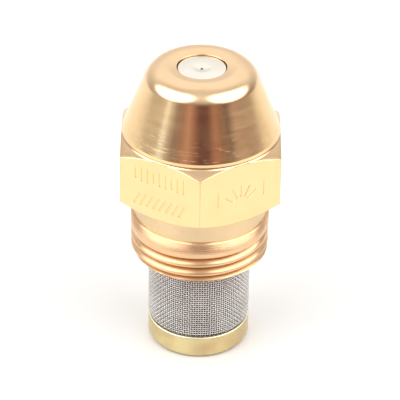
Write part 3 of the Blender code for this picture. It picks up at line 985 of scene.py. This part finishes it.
# %% [markdown]
# ## The wire cloth
#
# The sleeve is plain weave of 100 wires to the inch: upright wires pass over and under level rings in
# turn.  Both are modelled as real wires, because the cloth is what gives the strainer its look.  One
# upright wire and one ring are made as lines of vertices that step out and in, turned into curves
# with a round bevel, and copied all round and all the way up.

# %% Make one upright wire and copy it round
WIRES_ROUND = 128
WIRE_RADIUS = 0.050
RINGS_UP = 41
RING_PITCH = (MESH_TOP - MESH_BOTTOM) / RINGS_UP
CLOTH_RADIUS = MESH_RADIUS - 2 * WIRE_RADIUS
DRAW_IN_TOP = 2.82
DRAW_IN_HEIGHT = 0.22
DRAW_IN_DEPTH = 0.33


def round_wire(wire):
    """Gives a line of edges the thickness of the wire, as a mesh."""
    clear_selection()
    wire.select_set(True)
    bpy.context.view_layer.objects.active = wire
    bpy.ops.object.convert(target="CURVE")
    wire = bpy.context.object
    wire.data.bevel_depth = WIRE_RADIUS
    wire.data.bevel_resolution = 1
    wire.data.use_fill_caps = True
    bpy.ops.object.convert(target="MESH")
    return bpy.context.object


def upright_wire(phase):
    """A wire that is outside at every other ring, starting outside where phase is 0."""
    clear_selection()
    bpy.ops.mesh.primitive_plane_add(size=0.1)
    wire = bpy.context.object
    bpy.ops.object.mode_set(mode="EDIT")
    bpy.ops.mesh.select_mode(type="VERT")
    bpy.ops.mesh.select_all(action="SELECT")
    bpy.ops.mesh.merge(type="CENTER")
    bpy.ops.transform.translate(value=(CLOTH_RADIUS, 0, MESH_BOTTOM))
    here = 0.0
    for i in range(1, 2 * RINGS_UP + 1):
        there = (0, 1, 0, -1)[(i + 2 * phase) % 4] * WIRE_RADIUS
        step = (there - here, 0, RING_PITCH / 2)
        bpy.ops.mesh.extrude_region_move(TRANSFORM_OT_translate={"value": step})
        here = there
    bpy.ops.object.mode_set(mode="OBJECT")
    return round_wire(wire)


def copy_round(piece, count):
    """Copies a piece about the Z axis until there are count of it."""
    bpy.ops.object.mode_set(mode="EDIT")
    bpy.ops.mesh.select_all(action="SELECT")
    sweep = math.tau * (count - 1) / count
    bpy.ops.mesh.spin(steps=count - 1, dupli=True, angle=sweep, center=(0, 0, 0), axis=(0, 0, 1))
    bpy.ops.object.mode_set(mode="OBJECT")


def draw_in(piece):
    """Draws the cloth in near its bottom, where it enters the cap."""
    for vertex in piece.data.vertices:
        amount = min(max((DRAW_IN_TOP - vertex.co.z) / DRAW_IN_HEIGHT, 0.0), 1.0)
        amount = amount * amount * (3 - 2 * amount)
        radius = vertex.co.xy.length
        vertex.co.xy *= (radius - DRAW_IN_DEPTH * amount) / radius


halves = []
for phase in (0, 1):
    half = upright_wire(phase)
    half.data.transform(Matrix.Rotation(math.tau * phase / WIRES_ROUND, 4, "Z"))
    copy_round(half, WIRES_ROUND // 2)
    halves.append(half)
clear_selection()
for half in halves:
    half.select_set(True)
bpy.context.view_layer.objects.active = halves[0]
bpy.ops.object.join()
uprights = halves[0]
uprights.name = "strainer_mesh_uprights"
draw_in(uprights)
uprights.data.materials.clear()
uprights.data.materials.append(wire_steel)
finish_piece(uprights, "strainer", "wire_steel", "strainer_mesh", angle=80)

# %% Make one ring and copy it up
def level_ring(phase):
    """A ring that is inside where upright wires of the same phase are outside."""
    clear_selection()
    bpy.ops.mesh.primitive_circle_add(vertices=2 * WIRES_ROUND, radius=CLOTH_RADIUS)
    ring = bpy.context.object
    for vertex in ring.data.vertices:
        turn_step = round(math.atan2(vertex.co.y, vertex.co.x) / math.tau * 2 * WIRES_ROUND)
        out = (-1, 0, 1, 0)[(turn_step + 2 * phase) % 4] * WIRE_RADIUS
        vertex.co.xy *= (CLOTH_RADIUS + out) / CLOTH_RADIUS
    bpy.ops.object.mode_set(mode="EDIT")
    bpy.ops.mesh.select_all(action="SELECT")
    bpy.ops.transform.translate(value=(0, 0, MESH_BOTTOM + RING_PITCH * (0.5 + phase)))
    bpy.ops.object.mode_set(mode="OBJECT")
    return round_wire(ring)


halves = []
for phase in (0, 1):
    half = level_ring(phase)
    stack = half.modifiers.new("stack", "ARRAY")
    stack.count = (RINGS_UP + 1 - phase) // 2
    stack.use_relative_offset = False
    stack.use_constant_offset = True
    stack.constant_offset_displace = (0, 0, 2 * RING_PITCH)
    bpy.ops.object.modifier_apply(modifier=stack.name)
    halves.append(half)
clear_selection()
for half in halves:
    half.select_set(True)
bpy.context.view_layer.objects.active = halves[0]
bpy.ops.object.join()
levels_cloth = halves[0]
levels_cloth.name = "strainer_mesh_rings"
draw_in(levels_cloth)
levels_cloth.data.materials.clear()
levels_cloth.data.materials.append(wire_steel)
finish_piece(levels_cloth, "strainer", "wire_steel", "strainer_mesh", angle=80)

# %% [markdown]
# ## The cap
#
# The cap closes the bottom of the strainer.  It is pressed from sheet, so its wall is thin, its rim
# is rounded and its bottom edge is a generous bend.  The rim's brighter colour is a painted highlight.

# %% Turn the pressed cap
CAP_WALL = 0.3
CAP_FLOOR = 0.5
CAP_MIDDLE = 4.0
CAP_BEND = 0.6
CAP_RIM_ROUND = 0.13
PAINTED_HIGHLIGHT_BAND = 0.10
cap = turn("strainer_cap_pressed", soften([
    (CAP_MIDDLE, CAP_FLOOR),
    (CAP_RADIUS - CAP_WALL, CAP_FLOOR, 0.25),
    (CAP_RADIUS - CAP_WALL, CAP_TOP, CAP_RIM_ROUND),
    (CAP_RADIUS, CAP_TOP, CAP_RIM_ROUND),
    (CAP_RADIUS, CAP_BOTTOM, CAP_BEND),
    (CAP_MIDDLE, CAP_BOTTOM),
], steps=6), sides=160, solid=True)
cap.data.materials.append(yellow_brass)
cap.data.materials.append(rim_painted_highlight)
# Painted highlight: the faces at the top of the rim get the brighter brass.
for face in cap.data.polygons:
    face.material_index = 1 if face.center.z > CAP_TOP - PAINTED_HIGHLIGHT_BAND else 0
finish_piece(cap, "strainer", "yellow_brass", "strainer_cap")

# %% [markdown]
# ## The size of the new pieces
#
# The new pieces must stay inside the box of the CAD pieces.  Both boxes are written down to compare.

# %% Write both boxes and finish
made_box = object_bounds()
for label, box in (("cad", cad_box), ("made", made_box)):
    print(label, [[round(value / MM, 2) for value in corner] for corner in box])
